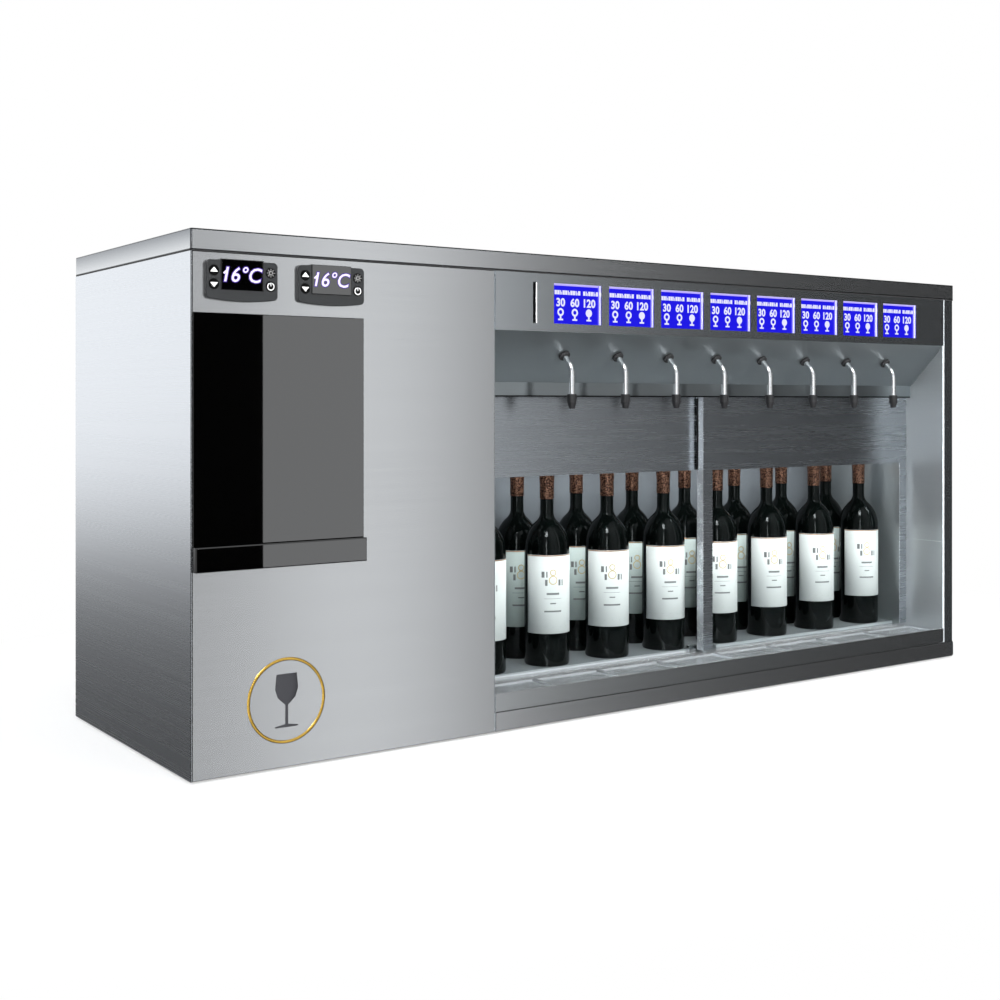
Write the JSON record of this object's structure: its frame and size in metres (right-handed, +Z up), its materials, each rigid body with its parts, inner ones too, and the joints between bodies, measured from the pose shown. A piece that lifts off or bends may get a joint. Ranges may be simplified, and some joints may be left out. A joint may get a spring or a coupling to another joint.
{
  "type": "wine preservation dispenser",
  "caption": "Free-standing counter cabinet that keeps opened wine under gas and pours it through spouts over a drip tray, with sliding glass doors and a touch screen.",
  "frame": {"origin": "on the counter under the middle of the whole width and depth, so the lowest faces of the feet are at z = 0", "axes": "+X to the right along the front as someone facing the spouts sees it, +Y towards the back, +Z up; the front faces -Y"},
  "size_m": [1.566, 0.491, 0.723],
  "materials": {
    "brushed_steel": "brushed along the width",
    "steel_sheet": "mill finish",
    "foam": "cut foam",
    "rubber": "matt moulded",
    "chrome": "polished",
    "black_plastic": "moulded satin",
    "grey_plastic": "moulded satin",
    "button_plastic": "moulded with white marks",
    "white_plastic": "moulded satin",
    "hose_plastic": "translucent hose",
    "display_plastic": "lit blue display in a pale frame",
    "clear_glass": "clear",
    "bottle_glass": "dark bottle glass with a paper label and a foil capsule",
    "screen_glass": "black glass",
    "circuit_board": "green board",
    "brass": "turned",
    "copper": "drawn copper pipe",
    "aluminium": "mill finish",
    "black_paint": "black enamel"
  },
  "bodies": {
    "cabinet": {"top_cover": "brushed_steel", "left_side_panel": "brushed_steel", "right_side_panel": "brushed_steel", "service_panel": "brushed_steel", "bay_plinth": "brushed_steel", "display_fascia": "brushed_steel", "spout_panel": "brushed_steel", "drip_bed": "brushed_steel", "bottle_shelf": "brushed_steel", "top_deck": "steel_sheet", "rear_panel": "steel_sheet", "compartment_wall": "steel_sheet", "machine_tray": "steel_sheet", "door_track": "steel_sheet", "bay_liner": "steel_sheet", "fan_shroud": "steel_sheet", "gas_manifold": "steel_sheet", "insulation_boards": "foam", "feet": "rubber", "spout_tubes": "chrome", "spout_nozzles": "black_plastic", "spout_grommets": "rubber", "dispense_valves": "black_plastic", "display_modules": "display_plastic", "card_reader": "black_plastic", "front_bottles": "bottle_glass", "rear_bottles": "bottle_glass", "bottle_stoppers": "white_plastic", "wine_hoses": "hose_plastic", "gas_hoses": "hose_plastic", "gas_regulator": "brass", "gas_inlet": "brass", "cable_gland": "black_plastic", "touch_glass": "screen_glass", "screen_chin": "black_plastic", "screen_housing": "black_plastic", "control_board": "circuit_board", "power_supply": "steel_sheet", "controllers": "grey_plastic", "controller_windows": "screen_glass", "cold_plates": "aluminium", "condenser": "aluminium", "compressor": "black_paint", "refrigerant_lines": "copper"},
    "left_door": {"left_door_frame": "brushed_steel", "left_door_pane": "clear_glass", "left_door_glides": "white_plastic"},
    "right_door": {"right_door_frame": "brushed_steel", "right_door_pane": "clear_glass", "right_door_glides": "white_plastic"},
    "drip_tray": {"drip_tray": "brushed_steel"},
    "fan_rotor": {"fan_rotor": "white_plastic"},
    "left_up_button": {"left_up_button": "button_plastic"},
    "left_down_button": {"left_down_button": "button_plastic"},
    "left_lamp_button": {"left_lamp_button": "button_plastic"},
    "left_power_button": {"left_power_button": "button_plastic"},
    "right_up_button": {"right_up_button": "button_plastic"},
    "right_down_button": {"right_down_button": "button_plastic"},
    "right_lamp_button": {"right_lamp_button": "button_plastic"},
    "right_power_button": {"right_power_button": "button_plastic"}
  },
  "joints": [
    {"name": "left_door_slide", "type": "slide", "parent": "cabinet", "child": "left_door", "axis": [1, 0, 0], "range_m": [0, 0.49]},
    {"name": "right_door_slide", "type": "slide", "parent": "cabinet", "child": "right_door", "axis": [-1, 0, 0], "range_m": [0, 0.49]},
    {"name": "drip_tray_lift", "type": "slide", "parent": "cabinet", "child": "drip_tray", "axis": [0, 0, 1], "range_m": [0, 0.04]},
    {"name": "fan_spin", "type": "hinge", "parent": "cabinet", "child": "fan_rotor", "pos_m": [-0.593, 0.1465, 0.168], "axis": [0, 1, 0], "continuous": true},
    {"name": "left_up_press", "type": "slide", "parent": "cabinet", "child": "left_up_button", "axis": [0, 1, 0], "range_m": [0, 0.001], "stiffness_N_per_m": 300, "springref_m": -0.001},
    {"name": "left_down_press", "type": "slide", "parent": "cabinet", "child": "left_down_button", "axis": [0, 1, 0], "range_m": [0, 0.001], "stiffness_N_per_m": 300, "springref_m": -0.001},
    {"name": "left_lamp_press", "type": "slide", "parent": "cabinet", "child": "left_lamp_button", "axis": [0, 1, 0], "range_m": [0, 0.001], "stiffness_N_per_m": 300, "springref_m": -0.001},
    {"name": "left_power_press", "type": "slide", "parent": "cabinet", "child": "left_power_button", "axis": [0, 1, 0], "range_m": [0, 0.001], "stiffness_N_per_m": 300, "springref_m": -0.001},
    {"name": "right_up_press", "type": "slide", "parent": "cabinet", "child": "right_up_button", "axis": [0, 1, 0], "range_m": [0, 0.001], "stiffness_N_per_m": 300, "springref_m": -0.001},
    {"name": "right_down_press", "type": "slide", "parent": "cabinet", "child": "right_down_button", "axis": [0, 1, 0], "range_m": [0, 0.001], "stiffness_N_per_m": 300, "springref_m": -0.001},
    {"name": "right_lamp_press", "type": "slide", "parent": "cabinet", "child": "right_lamp_button", "axis": [0, 1, 0], "range_m": [0, 0.001], "stiffness_N_per_m": 300, "springref_m": -0.001},
    {"name": "right_power_press", "type": "slide", "parent": "cabinet", "child": "right_power_button", "axis": [0, 1, 0], "range_m": [0, 0.001], "stiffness_N_per_m": 300, "springref_m": -0.001}
  ]
}
